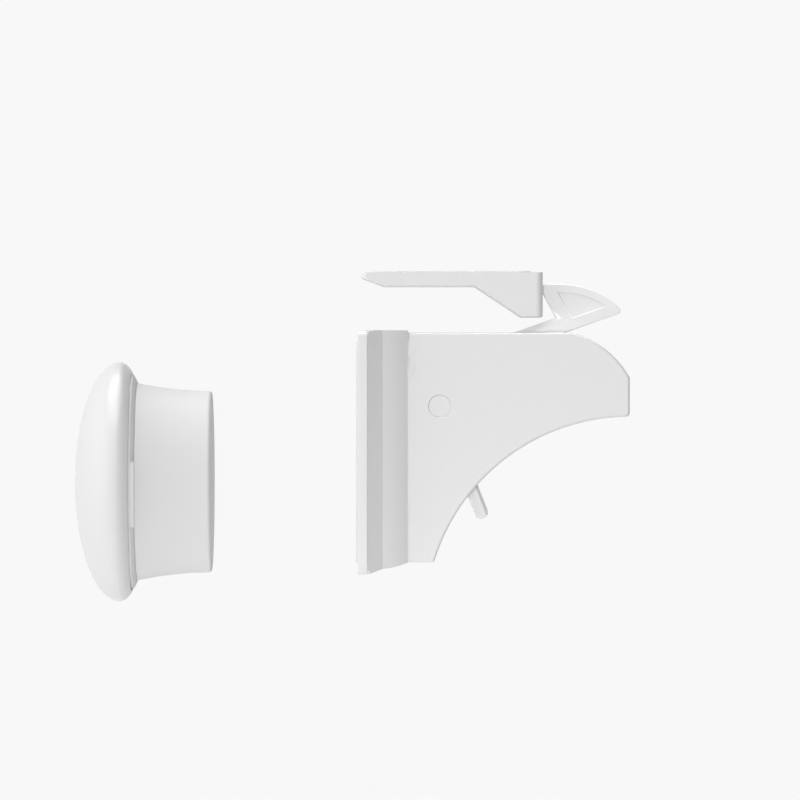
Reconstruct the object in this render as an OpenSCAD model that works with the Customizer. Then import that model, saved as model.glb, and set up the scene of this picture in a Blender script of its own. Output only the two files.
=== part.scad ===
// Magnetic cabinet safety lock: a latch case for the inside of a door, a catch
// for the panel above it and a magnetic key that is held to the outside.
// +X runs from the door into the cabinet, +Z is up, and the origin is the
// middle of the case's adhesive face on the inside of the door.

/* [Layout] */
// Thickness of the door between the key and the case
door_t = 18; // [12:0.5:25]
// Free gap between the key's face and the outside of the door
key_gap = 15.35; // [8:0.05:30]
// How far the hook overlaps the catch's tooth
engage = 7.6; // [7.2:0.1:8]
// Free gap between the catch's tooth and the hook
catch_gap = 0.25; // [0.1:0.05:1]

/* [Base of the case] */
// Height of the base on the door
base_h = 56; // [55:0.5:60]
// Width of the base across the door
base_w = 38.5; // [34:0.5:42]
// Corner radius of the base
base_corner = 1.8; // [0.8:0.1:3]
// Thickness of the back plate
plate_t = 2.3; // [1.8:0.1:2.4]
// Depth of the bevel round the base
bevel_d = 3.4; // [2.6:0.1:4.4]
// Setback of the bevel on each side
bevel_side = 3.4; // [2.4:0.1:4.2]
// Setback of the bevel at the bottom
bevel_drop = 1.25; // [0.8:0.05:1.6]
// Depth of the rounded bead in front of the bevel
bead_d = 5.85; // [5:0.05:7]
// Setback of the bead at the bottom
bead_drop = 1.4; // [0.8:0.05:1.8]
// Radius of the bead's crown
bead_r = 17; // [9:0.5:20]

/* [Case] */
// Width of the case
body_w = 24; // [23:0.5:27]
// Reach of the case from the door to its nose
body_d = 62.9; // [61:0.1:68]
// Step from the top of the base down to the top of the case
body_step = 0.5; // [0.2:0.1:1]
// Wall thickness of the case
wall = 1.8; // [1.5:0.1:2.1]
// Height of the flat nose
nose_h = 9; // [7:0.05:10]
// Drop from the top of the case to the top of the nose
nose_drop = 10.35; // [9.5:0.05:11.5]
// Run of the rounded shoulder before the nose
shoulder_run = 13.3; // [11:0.1:15]
// Radius of the rounded shoulder
shoulder_r = 21.3; // [19:0.1:26]
// Reach of the foot at the bottom of the case
toe_d = 17.9; // [16:0.1:20]
// Radius under the nose
nose_r = 0.9; // [0.4:0.1:1.5]

/* [Adhesive pads] */
// Thickness of the foam pads
pad_t = 1; // [0.8:0.1:1.2]
// How far the pads stand out of their recesses
pad_proud = 0.35; // [0.2:0.05:0.5]
// How far the key's pad stands out of its recess
key_pad_proud = 0.1; // [0.05:0.05:0.4]
// Margin of plastic round the pads
pad_margin = 2.6; // [2:0.1:3.5]
// Corner radius of the pads
pad_corner = 2.5; // [1:0.1:4]

/* [Latch] */
// Distance of the latch pin from the door
pivot_x = 10.6; // [10:0.1:11.2]
// Depth of the latch pin below the top of the case
pivot_drop = 7.7; // [7.3:0.1:8.1]
// Diameter of the latch pin and the lever pin
pin_d = 3; // [2.6:0.1:3.2]
// Width of the latch
latch_w = 8.4; // [7.6:0.1:8.8]
// Diameter of the latch's hub
hub_d = 8; // [7:0.1:8.6]
// Upward slope of the latch's arm, in degrees
arm_rise = 19.5; // [18.5:0.1:20.5]
// Thickness of the latch's arm
arm_t = 4; // [3.4:0.1:4.4]
// Distance of the arm's middle line below the pin
arm_drop = 3.25; // [3:0.05:3.4]
// Reach of the hook's nose from the pin
hook_reach = 32.6; // [31.6:0.1:33.4]
// Height of the hook above the pin
hook_rise = 18.95; // [18.6:0.05:19.4]
// Height of the hook's locking face
hook_nose = 2.25; // [1.5:0.05:3]
// Slant of the hook's undercut
undercut = 2.9; // [2.2:0.1:3.4]
// Flat top behind the hook's nose
crown_lead = 4; // [3:0.1:5]
// Radius of the hook's rounded back
crown_r = 19.5; // [18.5:0.1:20.5]
// Radius of the hook's tip
tip_r = 0.8; // [0.6:0.05:1.1]
// Rim above the hook's pocket
window_rim = 1.9; // [1.8:0.1:2.8]
// Rim below the hook's pocket
window_low = 2.6; // [2:0.1:3]
// Rim behind the hook's nose
window_back = 3.2; // [2.8:0.1:3.8]
// Depth of the hook's pocket on each side
window_depth = 0.5; // [0.3:0.1:2]
// Swing of the latch from locked to released, in degrees
swing = 14.5; // [14:0.1:15]

/* [Latch magnet] */
// Diameter of the latch's magnet
magnet_d = 12; // [10:0.1:12.4]
// Thickness of the latch's magnet
magnet_t = 4; // [3:0.1:4.4]
// Distance of the magnet below the pin
magnet_drop = 26.4; // [26:0.1:27]
// Thickness of the lid over the magnet
lid_t = 0.8; // [0.6:0.1:1]
// Wall of the magnet's cup
cup_wall = 1.2; // [1:0.1:1.4]

/* [Hold lever] */
// Distance of the lever pin from the door
lever_x = 19.2; // [18.9:0.1:19.6]
// Depth of the lever pin below the top of the case
lever_drop = 16.9; // [16.6:0.1:17.2]
// Diameter of the lever's hub
lever_hub_d = 6.8; // [6:0.1:7]
// Slope of the finger tab away from straight down, in degrees
tab_angle = 21.5; // [19:0.5:24]
// Length of the finger tab from the lever pin to its round end
tab_len = 26.4; // [24:0.1:29]
// Thickness of the finger tab
tab_t = 3.1; // [2.6:0.1:3.6]
// Width of the finger tab
tab_w = 8; // [6.5:0.1:8.4]
// Turn of the lever from on to off, in degrees
flip = 26; // [25:0.5:28]

/* [Catch] */
// Length of the catch
catch_l = 41.9; // [39:0.1:46]
// Width of the catch
catch_w = 20; // [16:0.5:26]
// Height of the catch with its pad
catch_h = 10.6; // [10:0.1:12]
// Thickness of the catch's flange with its pad
flange_t = 3.5; // [3.2:0.1:4.4]
// Length of the catch's tooth along its tip
tooth_l = 4.9; // [4.5:0.1:6.5]
// Run of the catch's ramp
ramp_run = 10.75; // [8:0.05:13]
// Run of the slope at the catch's tail
tail_run = 5.3; // [4:0.1:7]
// Height of the catch's tail face with its pad
tail_h = 1.6; // [1.3:0.1:2]
// Corner radius of the catch, seen from above
catch_corner = 1.6; // [0.8:0.1:2.5]
// Wall of the cored tooth
tooth_wall = 1.8; // [1.4:0.1:2.2]

/* [Key] */
// Radius of the key's dome
dome_r = 27.7; // [24:0.1:32]
// Depth of the dome in front of its widest circle
dome_d = 10.4; // [9.5:0.1:12]
// Depth of the rolled rim behind the widest circle
roll_d = 4.8; // [4.4:0.1:5.6]
// Radial depth of the rolled rim's curve
roll_drop = 12; // [11:0.5:14]
// Radial setback of the dome's back edge from its widest circle
rim_drop = 2.2; // [1.9:0.1:2.8]
// Radial thickness of the dome's back edge
rim_t = 0.5; // [0.4:0.1:0.8]
// Wall thickness of the dome
dome_wall = 2; // [1.6:0.1:2.4]
// Radial drop of the sloping band between the dome and the barrel
band_drop = 1.95; // [1.5:0.05:2.4]
// Width of the band along the key
band_w = 1.37; // [1:0.01:2]
// Width of the level strip of the band beside the dome
strip_w = 0.42; // [0.3:0.01:0.6]
// Angle that each lug on the band spans, in degrees
lug_angle = 36; // [20:1:60]
// Turn of the lugs below the level of the key's axis, in degrees
lug_turn = 6.5; // [0:0.5:60]
// Radial flare of the barrel from the door end to the band
flare = 1.85; // [1:0.05:2.6]
// Length of the barrel with its pad
barrel_l = 17.25; // [17:0.05:22]
// Wall thickness of the barrel
barrel_wall = 2.2; // [1.8:0.1:2.6]
// Radius on the barrel's door end
barrel_round = 0.7; // [0.3:0.1:1]
// Wall of the magnet's holder in the key
carrier_wall = 3.6; // [3:0.1:5]
// Thickness of the key's magnet
key_magnet_t = 8; // [6:0.1:8.4]
// Thickness of the steel disc behind the key's magnet
yoke_t = 2; // [1.5:0.1:2.2]

/* [Screws] */
// Thread diameter of the screws
screw_d = 2; // [1.8:0.1:2.2]
// Head diameter of the screws
screw_head_d = 3.8; // [3.4:0.1:4.2]
// Reach of the back plate's screws past the plate
screw_grip = 4.6; // [4:0.1:5]
// Reach of the key's screws into the dome
key_screw_grip = 7; // [5:0.1:9]

/* [Hidden] */
$fn = 72;
// Facets of wide circles
wide_fn = 360;

// Overrun of every cut past the face that it opens
cut = 1;
// Clearance between pieces that are fitted together
fit = 0.1;
// Radial clearance of a pin in its hole
run_fit = 0.05;
// Clearance between moving pieces that pass each other
slide_gap = 0.3;

white = [0.93, 0.93, 0.93];
foam = [0.80, 0.81, 0.82];
steel = [0.62, 0.63, 0.65];
nickel = [0.74, 0.73, 0.70];

// Planes of the base and the case
plate_back = pad_proud;
plate_front = plate_back + plate_t;
bevel_end = plate_front + bevel_d;
base_front = bevel_end + bead_d;
bead_sunk = 0.02;
base_bottom = -base_h/2;
bevel_bottom = base_bottom + bevel_drop;
body_bottom = bevel_bottom + bead_drop;
body_top = base_h/2 - body_step;
nose_top = body_top - nose_drop;
nose_low = nose_top - nose_h;
shoulder_x = body_d - shoulder_run;
cavity_w = body_w - 2*wall;
cavity_top = body_top - wall;

// Middle of a circle of radius r through a and b, on the right of the way from a to b
function arc_middle(a, b, r) =
    let (along = (b - a)/norm(b - a), half = norm(b - a)/2)
    (a + b)/2 + [along.y, -along.x]*sqrt(r*r - half*half);
// Point p turned by an angle about the pins' direction, as seen with +X right and +Z up
function turned(p, angle) = [p.x*cos(angle) + p.y*sin(angle), p.y*cos(angle) - p.x*sin(angle)];
// Point at a radius and an angle
function polar(r, angle) = [r*cos(angle), r*sin(angle)];

shoulder_c = arc_middle([shoulder_x, body_top], [body_d, nose_top], shoulder_r);
arch_r = (pow(body_d - toe_d, 2) + pow(nose_low - body_bottom, 2))/(2*(nose_low - body_bottom));
arch_c = [body_d, nose_low - arch_r];
nose_round_share = 1.15;

// Pins and the latch's arm
pin_r = pin_d/2;
pivot = [pivot_x, body_top - pivot_drop];
lever_at = [lever_x, body_top - lever_drop];
latch_boss_l = 1.8;
latch_boss_r = pin_r + wall;
latch_boss_y = cavity_w/2 - latch_boss_l;
gate_side_w = 3;
lever_w = latch_w + 2*gate_side_w;
outer_boss_r = 2.8;
outer_boss_h = 0.25;
sleeve_r = pin_r + cup_wall;
// Height of the arm's lower and upper edges over the pin at a distance from it
function arm_low(x) = x*tan(arm_rise) - (arm_drop + arm_t/2)/cos(arm_rise);
function arm_high(x) = x*tan(arm_rise) - (arm_drop - arm_t/2)/cos(arm_rise);

// Hook: its rounded back, and the tip circle that touches that back and the arm's lower edge
crown_c = [hook_reach + crown_lead, hook_rise - crown_r];
tip_line = arm_low(0) + tip_r/cos(arm_rise) - crown_c.y;
tip_slope = tan(arm_rise);
tip_b = tip_slope*tip_line - crown_c.x;
tip_square = 1 + tip_slope*tip_slope;
tip_c_x = (-tip_b + sqrt(tip_b*tip_b - tip_square*(pow(crown_c.x, 2) + pow(tip_line, 2)
          - pow(crown_r - tip_r, 2))))/tip_square;
tip_c = [tip_c_x, tip_slope*tip_c_x + tip_line + crown_c.y];
tip_low = tip_c + tip_r*[sin(arm_rise), -cos(arm_rise)];
tip_high = tip_c + tip_r*(tip_c - crown_c)/norm(tip_c - crown_c);
hook_heel = [hook_reach + undercut, arm_high(hook_reach + undercut)];
hook_lip = [hook_reach, hook_rise - hook_nose];

// Slot for the latch: its back edge stops the arm when the hook is up
slot_w = latch_w + 4*slide_gap;
slot_x = pivot.x + (cavity_top - pivot.y + (arm_drop - arm_t/2)/cos(arm_rise))/tan(arm_rise)
         - slide_gap/sin(arm_rise);
slot_floor = nose_top - wall/2;

// Magnet and its cup, placed with the latch released, where the cup lies flat behind the plate
magnet_gap = 0.5;
magnet_r = magnet_d/2;
cup_mouth = plate_front + magnet_gap - pivot.x;
cup_seat = cup_mouth + lid_t + magnet_t;
cup_back = cup_seat + cup_wall;
cup_r = magnet_r + fit + cup_wall;
web_t = 3.4;
web_top_share = 0.7;
magnet_rest = pivot + turned([cup_mouth + lid_t + magnet_t/2, -magnet_drop], -swing);

// Ribs on the latch and the lever's gate, which stands between their two places
rib_r = 11.4;
rib_angle = 229.6;
rib_t = 1.2;
rib_l = 4;
gate_gap = 0.35;
rib_up = lever_at + polar(rib_r, rib_angle);
rib_down = pivot + turned(rib_up - pivot, swing);
rib_travel = norm(rib_down - lever_at) - rib_r;
gate_t = rib_travel - rib_t - 2*gate_gap;
gate_r = rib_r + rib_travel/2;
gate_y = latch_w/2 + slide_gap + fit;
gate_end_angle = 204.5;
gate_span_angle = 26;
spoke_angle = 184;
spoke_t = 2.4;
slot_turn_angle = 7.5;
slot_ray = tab_len + tab_t + wall;

// Lever pin: its head lies in a recess of the near wall
pin_head_r = 2.5;
pin_head_t = 1;
pin_head_recess = 0.15;
pin_head_fit = 0.04;
lever_boss_r = lever_hub_d/2;
lever_boss_y = lever_w/2 + fit;
pin_end_wall = 0.9;

// Torsion spring on the latch pin
wire_d = 0.6;
coil_r = 2.4;
coil_turns = 2;
coil_pitch = 1.05;
ring_sides = 6;
rings_per_turn = 8;
wire_gap = 0.1;
spring_y = latch_w/2 + slide_gap + wire_d/2;
plate_leg_drop = 7.5;
arm_leg_run = 7.6;
leg_hook = 1.8;

// Catch: hung from the panel so that its tooth stands before the hook's nose
tooth_x = pivot.x + hook_reach - catch_gap;
tooth_z = pivot.y + hook_rise - engage;
catch_top = tooth_z + catch_h;
catch_face = catch_top - pad_proud;
flange_z = catch_top - flange_t;
catch_tail = tooth_x - catch_l;
core_rib = 1.6;
catch_pad_l = catch_l - 2*pad_margin;
catch_pad_w = catch_w - 2*pad_margin;

// Key: lengths along its axis are counted from the face that meets the door
key_x = -door_t - key_gap;
key_z = magnet_rest.y;
roll_angle = acos(1 - rim_drop/roll_drop);
rim_r = dome_r - rim_drop;
rim_at = barrel_l + band_w;
wide_at = rim_at + roll_d*sin(roll_angle);
mouth_r = rim_r - rim_t;
collar_r = mouth_r - 2*fit;
flare_r = collar_r - band_drop;
barrel_r = flare_r - flare;
barrel_back = key_pad_proud;
barrel_floor = barrel_back + barrel_wall;
barrel_bore = barrel_r - barrel_wall;
flare_arc_r = (pow(barrel_l - barrel_back, 2) + flare*flare)/(2*flare);
key_magnet_r = barrel_bore - fit - carrier_wall;
yoke_at = barrel_floor + key_magnet_t;
yoke_end = yoke_at + yoke_t;
carrier_t = 1;
carrier_end = yoke_end + carrier_t;
carrier_mouth_share = 0.5;
collar_web = 1.8;
collar_lip = 1.6;
collar_spigot = 2.4;
key_pad_r = barrel_r - pad_margin;
key_screw_inset = 6.8;
key_screw_r = barrel_bore - key_screw_inset;
key_screws_n = 3;
key_boss_wall = 1.6;
key_boss_r = screw_d/2 + key_boss_wall;
key_lugs_n = 2;
profile_steps = 24;

// Screws
screw_r = screw_d/2;
screw_head_r = screw_head_d/2;
screw_sink = screw_head_r - screw_r;
screw_wall = 1.4;
screw_inset = 8;
screw_y = cavity_w/2 + screw_wall + screw_r;
screw_z = base_h/2 - screw_inset;
pan_head_t = 1.4;
cross_w = 0.5;
cross_d = 0.6;

// A side view in X and Z, drawn out across the case's width
module across(width) {
    rotate([90, 0, 0]) linear_extrude(height = width, center = true) children();
}
// A side view in X and Z, drawn out between two distances from the middle plane
module between(near, far) {
    translate([0, far, 0]) rotate([90, 0, 0]) linear_extrude(height = far - near) children();
}
// A front view in Y and Z, drawn out along X from a plane
module from_plane(x, depth) {
    translate([x, 0, 0]) rotate([90, 0, 90]) linear_extrude(height = depth) children();
}
module both_sides() {
    children();
    mirror([0, 1, 0]) children();
}
module rounded_rectangle(w, h, r) {
    square([w - 2*r, h], center = true);
    square([w, h - 2*r], center = true);
    for (side = [-1, 1], end = [-1, 1])
        translate([side*(w/2 - r), end*(h/2 - r)]) circle(r = r);
}
// Rounded strip outside the line from a to b, on the left of the way, sunk a little into the solid
module bulge(a, b, r) {
    along = (b - a)/norm(b - a);
    out = [-along.y, along.x];
    sunk = norm(b - a)/4;
    first = a - along*sunk;
    last = b + along*sunk;
    intersection() {
        translate(arc_middle(a, b, r) - out*bead_sunk) circle(r = r);
        polygon([first - out*sunk, last - out*sunk, last + out*sunk, first + out*sunk]);
    }
}
// Wedge with its point at the middle, between two angles
module wedge(first, last, reach) {
    middle = (first + last)/2;
    polygon([[0, 0], polar(reach, first), polar(reach, middle), polar(reach, last)]);
}
// Countersunk screw that points along +X from the face of its head
module flat_screw(length) {
    difference() {
        rotate([0, 90, 0]) rotate_extrude()
            polygon([[0, 0], [screw_head_r, 0], [screw_r, screw_sink],
                     [screw_r, length - screw_r], [screw_r/2, length], [0, length]]);
        for (turn = [0, 90])
            rotate([turn, 0, 0]) cube([2*cross_d, cross_w, screw_head_r], center = true);
    }
}
module at_plate_screws() {
    for (side = [-1, 1], end = [-1, 1])
        translate([0, side*screw_y, end*screw_z]) children();
}

module base_plan() {
    side = base_w/2 - bevel_side;
    both = [0, 1];
    for (flipped = both) mirror([0, flipped]) {
        polygon([[plate_front, 0], [plate_front, base_w/2], [bevel_end, side],
                 [base_front, body_w/2], [base_front, 0]]);
        bulge([bevel_end, side], [base_front, body_w/2], bead_r);
    }
}
module base_side() {
    polygon([[plate_front, base_bottom], [bevel_end, bevel_bottom], [base_front, body_bottom],
             [base_front, base_h/2], [plate_front, base_h/2]]);
    bulge([base_front, body_bottom], [bevel_end, bevel_bottom], bead_r);
}
module base_ring() {
    intersection() {
        linear_extrude(height = 2*base_h, center = true) base_plan();
        across(2*base_w) base_side();
        from_plane(plate_front, base_front - plate_front)
            rounded_rectangle(base_w, base_h, base_corner);
    }
}
// Side outline of the case, drawn in by a wall's thickness for the hollow
module case_side(inset) {
    start = plate_front - (inset > 0 ? cut : 0);
    difference() {
        translate([start, body_bottom + inset])
            square([body_d - inset - start, body_top - body_bottom - 2*inset]);
        translate(arch_c) circle(r = arch_r + inset, $fn = wide_fn);
        difference() {
            translate(shoulder_c)
                square([body_d + cut - shoulder_c.x, body_top + cut - shoulder_c.y]);
            translate(shoulder_c) circle(r = shoulder_r - inset);
        }
    }
}
// Corner that the rounding under the nose takes away
module nose_corner() {
    low = [body_d - nose_r, arch_c.y + sqrt(arch_r*arch_r - nose_r*nose_r)];
    high = [body_d, nose_low + nose_r];
    round_r = nose_r*nose_round_share;
    middle = arc_middle(high, low, round_r);
    difference() {
        translate([middle.x, middle.y - round_r - cut])
            square([body_d + cut - middle.x, round_r + cut]);
        translate(middle) circle(r = round_r);
    }
}
module latch_slot() {
    translate([slot_x, -slot_w/2, slot_floor])
        cube([body_d + cut - slot_x, slot_w, body_top + cut - slot_floor]);
}
module lever_slot() {
    across(tab_w + 4*slide_gap) translate(lever_at)
        wedge(tab_angle - slot_turn_angle - 90, tab_angle + flip + slot_turn_angle - 90, slot_ray);
}
module latch_bosses() {
    both_sides() difference() {
        between(latch_boss_y, body_w/2 - wall/2) translate(pivot) circle(r = latch_boss_r);
        between(latch_boss_y - cut, cavity_w/2) {
            translate(pivot) circle(r = pin_r + run_fit);
            translate([plate_front, pivot.y - pin_r - run_fit])
                square([pivot.x - plate_front, 2*(pin_r + run_fit)]);
        }
    }
}
module case_shell() {
    color(white) difference() {
        union() {
            difference() {
                union() {
                    across(body_w) difference() {
                        case_side(0);
                        nose_corner();
                    }
                    base_ring();
                    both_sides() between(cavity_w/2, body_w/2 + outer_boss_h)
                        translate(pivot) circle(r = outer_boss_r);
                }
                across(cavity_w) case_side(wall);
            }
            latch_bosses();
            both_sides() between(lever_boss_y, body_w/2 - wall/2)
                translate(lever_at) circle(r = lever_boss_r);
        }
        latch_slot();
        lever_slot();
        between(-body_w/2 - cut, body_w/2 - pin_end_wall)
            translate(lever_at) circle(r = pin_r + run_fit);
        between(-body_w/2 - cut, -body_w/2 + pin_head_recess + pin_head_t)
            translate(lever_at) circle(r = pin_head_r + pin_head_fit);
        at_plate_screws() rotate([0, 90, 0])
            cylinder(r = screw_r + run_fit, h = plate_front + screw_grip + screw_r);
    }
}

module back_plate() {
    lip_w = cavity_w - 2*fit;
    lip_h = cavity_top - body_bottom - wall - 2*fit;
    lip_z = (cavity_top + body_bottom + wall)/2;
    color(white) difference() {
        union() {
            from_plane(plate_back, plate_t) rounded_rectangle(base_w, base_h, base_corner);
            from_plane(plate_back + plate_t/2, plate_t) translate([0, lip_z]) difference() {
                square([lip_w, lip_h], center = true);
                square([lip_w - 2*wall, lip_h - 2*wall], center = true);
            }
            // Posts that keep the latch pin in its open bearings
            both_sides() between(latch_boss_y + fit, lip_w/2)
                translate([plate_back + plate_t/2, pivot.y - pin_r])
                    square([pivot.x - pin_r - run_fit - plate_back - plate_t/2, pin_d]);
        }
        from_plane(plate_back - cut, pad_t - pad_proud + cut)
            rounded_rectangle(base_w - 2*pad_margin, base_h - 2*pad_margin, pad_corner);
        at_plate_screws() translate([pad_t, 0, 0]) rotate([0, 90, 0]) {
            cylinder(r = screw_r + fit, h = plate_t + cut);
            cylinder(r1 = screw_head_r + fit, r2 = screw_r + fit, h = screw_sink);
        }
    }
}
module case_pad() {
    color(foam) from_plane(0, pad_t)
        rounded_rectangle(base_w - 2*pad_margin - 2*fit, base_h - 2*pad_margin - 2*fit, pad_corner);
}
module plate_screws() {
    color(steel) at_plate_screws() translate([pad_t, 0, 0])
        flat_screw(plate_front + screw_grip - pad_t);
}
module latch_pin() {
    length = cavity_w - 2*fit;
    chamfer = pin_r/4;
    color(steel) translate([pivot.x, length/2, pivot.y]) rotate([90, 0, 0]) rotate_extrude()
        polygon([[0, 0], [pin_r - chamfer, 0], [pin_r, chamfer], [pin_r, length - chamfer],
                 [pin_r - chamfer, length], [0, length]]);
}
module lever_pin() {
    head_y = -body_w/2 + pin_head_recess;
    color(white) {
        between(head_y, head_y + pin_head_t) translate(lever_at) circle(r = pin_head_r);
        between(head_y, body_w/2 - pin_end_wall - fit) translate(lever_at) circle(r = pin_r);
    }
}

// Wire path: a leg on the plate, the coil and a leg hooked under the latch's arm
plate_leg = [plate_front + wire_d/2 + wire_gap - pivot.x, -plate_leg_drop];
arm_leg = [arm_leg_run, arm_low(arm_leg_run) - (wire_d/2 + wire_gap)/cos(arm_rise)];
coil_first = atan2(plate_leg.y, plate_leg.x) - acos(coil_r/norm(plate_leg));
coil_last = atan2(arm_leg.y, arm_leg.x) + acos(coil_r/norm(arm_leg)) - 360*coil_turns;
coil_rings = ceil((coil_first - coil_last)/360*rings_per_turn);
coil_l = coil_pitch*(coil_first - coil_last)/360;
function coil_point(i) =
    let (at = polar(coil_r, coil_first + (coil_last - coil_first)*i/coil_rings))
    [at.x, spring_y + coil_l*(1 - i/coil_rings), at.y];
wire_path = concat(
    [[plate_leg.x, spring_y + coil_l, plate_leg.y]],
    [for (i = [0:coil_rings]) coil_point(i)],
    [[arm_leg.x, spring_y, arm_leg.y], [arm_leg.x + wire_d, spring_y - wire_d, arm_leg.y + wire_d/3],
     [arm_leg.x + wire_d, spring_y - wire_d - leg_hook, arm_leg.y + wire_d/3]]);
function wire_way(i) =
    let (ahead = wire_path[min(i + 1, len(wire_path) - 1)], behind = wire_path[max(i - 1, 0)])
    (ahead - behind)/norm(ahead - behind);
function wire_ring(i) =
    let (way = wire_way(i), side_raw = cross(way, [1, 2, 3]), side = side_raw/norm(side_raw),
         up = cross(way, side))
    [for (k = [0:ring_sides - 1])
        wire_path[i] + wire_d/2*(side*cos(360*k/ring_sides) + up*sin(360*k/ring_sides))];
module latch_spring() {
    rings = len(wire_path);
    n = ring_sides;
    color(steel) translate([pivot.x, 0, pivot.y]) polyhedron(
        points = [for (i = [0:rings - 1]) each wire_ring(i)],
        faces = concat(
            [for (k = [1:n - 2]) [0, k, k + 1]],
            [for (i = [0:rings - 2], k = [0:n - 1]) each
                [[i*n + k, (i + 1)*n + k, i*n + (k + 1)%n],
                 [i*n + (k + 1)%n, (i + 1)*n + k, (i + 1)*n + (k + 1)%n]]],
            [for (k = [1:n - 2]) [(rings - 1)*n, (rings - 1)*n + k + 1, (rings - 1)*n + k]]));
}

// Side view of the hook's head
module hook_side() {
    intersection() {
        polygon([hook_lip, [hook_reach, hook_rise], [tip_high.x, hook_rise], tip_high, tip_low,
                 [hook_heel.x, arm_low(hook_heel.x)], hook_heel]);
        union() {
            translate(crown_c) circle(r = crown_r);
            translate([0, arm_low(0)]) square([crown_c.x, hook_rise - arm_low(0)]);
        }
    }
    translate(tip_c) circle(r = tip_r);
}
// Three-sided pocket in the hook's head
module hook_window() {
    back = (hook_heel - hook_lip)/norm(hook_heel - hook_lip);
    inward = [-back.y, back.x];
    slope = [cos(arm_rise), sin(arm_rise)];
    low = [0, arm_low(0) + window_low/cos(arm_rise)];
    heel = hook_heel + inward*window_back;
    intersection() {
        translate(crown_c) circle(r = crown_r - window_rim);
        polygon([low, low + slope*2*hook_reach, low + slope*2*hook_reach + [0, hook_rise],
                 low + [0, 2*hook_rise]]);
        polygon([heel + back*hook_rise, heel + back*hook_rise + inward*hook_reach,
                 heel - back*hook_rise + inward*hook_reach, heel - back*hook_rise]);
    }
}
module latch_side() {
    circle(r = hub_d/2);
    rotate(arm_rise) translate([0, -arm_drop - arm_t/2])
        square([(hook_heel.x + tip_r)/cos(arm_rise), arm_t]);
    rotate(swing) web_side();
    hook_side();
}
// A disc along X in the latch's released place, counted from the pin
module magnet_disc(r, first, last) {
    rotate([0, -swing, 0]) translate([first, 0, -magnet_drop]) rotate([0, 90, 0])
        cylinder(r = r, h = last - first);
}
module web_side() {
    polygon([[-hub_d/2*web_top_share, 0], [hub_d/2*web_top_share, 0],
             [cup_back, -magnet_drop + magnet_r], [cup_back - web_t, -magnet_drop + magnet_r]]);
}
module latch_arm() {
    color(white) translate([pivot.x, 0, pivot.y]) difference() {
        union() {
            across(latch_w) latch_side();
            magnet_disc(cup_r, cup_mouth, cup_back);
            both_sides() between(latch_w/2 - cup_wall, lever_w/2 - slide_gap)
                translate(rib_up - pivot) rotate(rib_angle) square([rib_t, rib_l], center = true);
            between(-latch_boss_y + slide_gap, -latch_w/2 + cup_wall) circle(r = sleeve_r);
        }
        across(2*lever_w) circle(r = pin_r + run_fit);
        both_sides() between(latch_w/2 - window_depth, latch_w/2 + cut) hook_window();
        magnet_disc(magnet_r + fit, cup_mouth - cut, cup_seat);
    }
}
module latch_magnet() {
    color(nickel) translate([pivot.x, 0, pivot.y])
        magnet_disc(magnet_r, cup_mouth + lid_t, cup_seat);
}
module magnet_lid() {
    color(white) translate([pivot.x, 0, pivot.y])
        magnet_disc(magnet_r, cup_mouth, cup_mouth + lid_t);
}

// Gate of the lever: part of a ring round its pin, carried by a spoke
module gate_side() {
    intersection() {
        difference() {
            circle(r = gate_r + gate_t/2);
            circle(r = gate_r - gate_t/2);
        }
        wedge(gate_end_angle - gate_span_angle, gate_end_angle, 2*gate_r);
    }
    rotate(spoke_angle) translate([0, -spoke_t/2]) square([gate_r, spoke_t]);
}
module hold_lever() {
    color(white) translate([lever_at.x, 0, lever_at.y]) difference() {
        union() {
            across(lever_w) circle(r = lever_hub_d/2);
            across(tab_w) rotate(tab_angle - 90) {
                translate([0, -tab_t/2]) square([tab_len, tab_t]);
                translate([tab_len, 0]) circle(r = tab_t/2);
            }
            both_sides() between(gate_y, lever_w/2) gate_side();
        }
        across(2*lever_w) circle(r = pin_r + run_fit);
    }
}

module catch_side() {
    polygon([[catch_tail, catch_face], [catch_tail, catch_top - tail_h],
             [catch_tail + tail_run, flange_z], [tooth_x - tooth_l - ramp_run, flange_z],
             [tooth_x - tooth_l, tooth_z], [tooth_x, tooth_z], [tooth_x, catch_face]]);
}
// Cores that leave the tooth a shell with a rib along its middle
module catch_cores() {
    top = catch_top - pad_t + cut;
    deep = tooth_z + tooth_wall;
    slope = ramp_run/(flange_z - tooth_z);
    low_x = tooth_x - tooth_l + tooth_wall/2;
    far_x = tooth_x - pad_margin - tooth_wall/2;
    both_sides() between(core_rib/2, (catch_pad_w - tooth_wall)/2)
        polygon([[low_x, deep], [far_x, deep], [far_x, top], [low_x - slope*(top - deep), top]]);
}
module catch_body() {
    color(white) difference() {
        intersection() {
            across(catch_w) catch_side();
            translate([tooth_x - catch_l/2, 0, tooth_z]) linear_extrude(height = catch_h)
                rounded_rectangle(catch_l, catch_w, catch_corner);
        }
        translate([tooth_x - catch_l/2, 0, catch_top - pad_t]) linear_extrude(height = pad_t)
            rounded_rectangle(catch_pad_l, catch_pad_w, pad_corner);
        catch_cores();
    }
}
module catch_pad() {
    color(foam) translate([tooth_x - catch_l/2, 0, catch_top - pad_t]) linear_extrude(height = pad_t)
        rounded_rectangle(catch_pad_l - 2*fit, catch_pad_w - 2*fit, pad_corner);
}

// Places a shape that stands on its end along the key's axis, from its door face outward
module on_key() {
    translate([key_x, 0, key_z]) rotate([0, -90, 0]) children();
}
module at_key_screws() {
    for (i = [0:key_screws_n - 1])
        rotate(360*(i + 1/2)/key_screws_n) translate([key_screw_r, 0, 0]) children();
}
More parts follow.
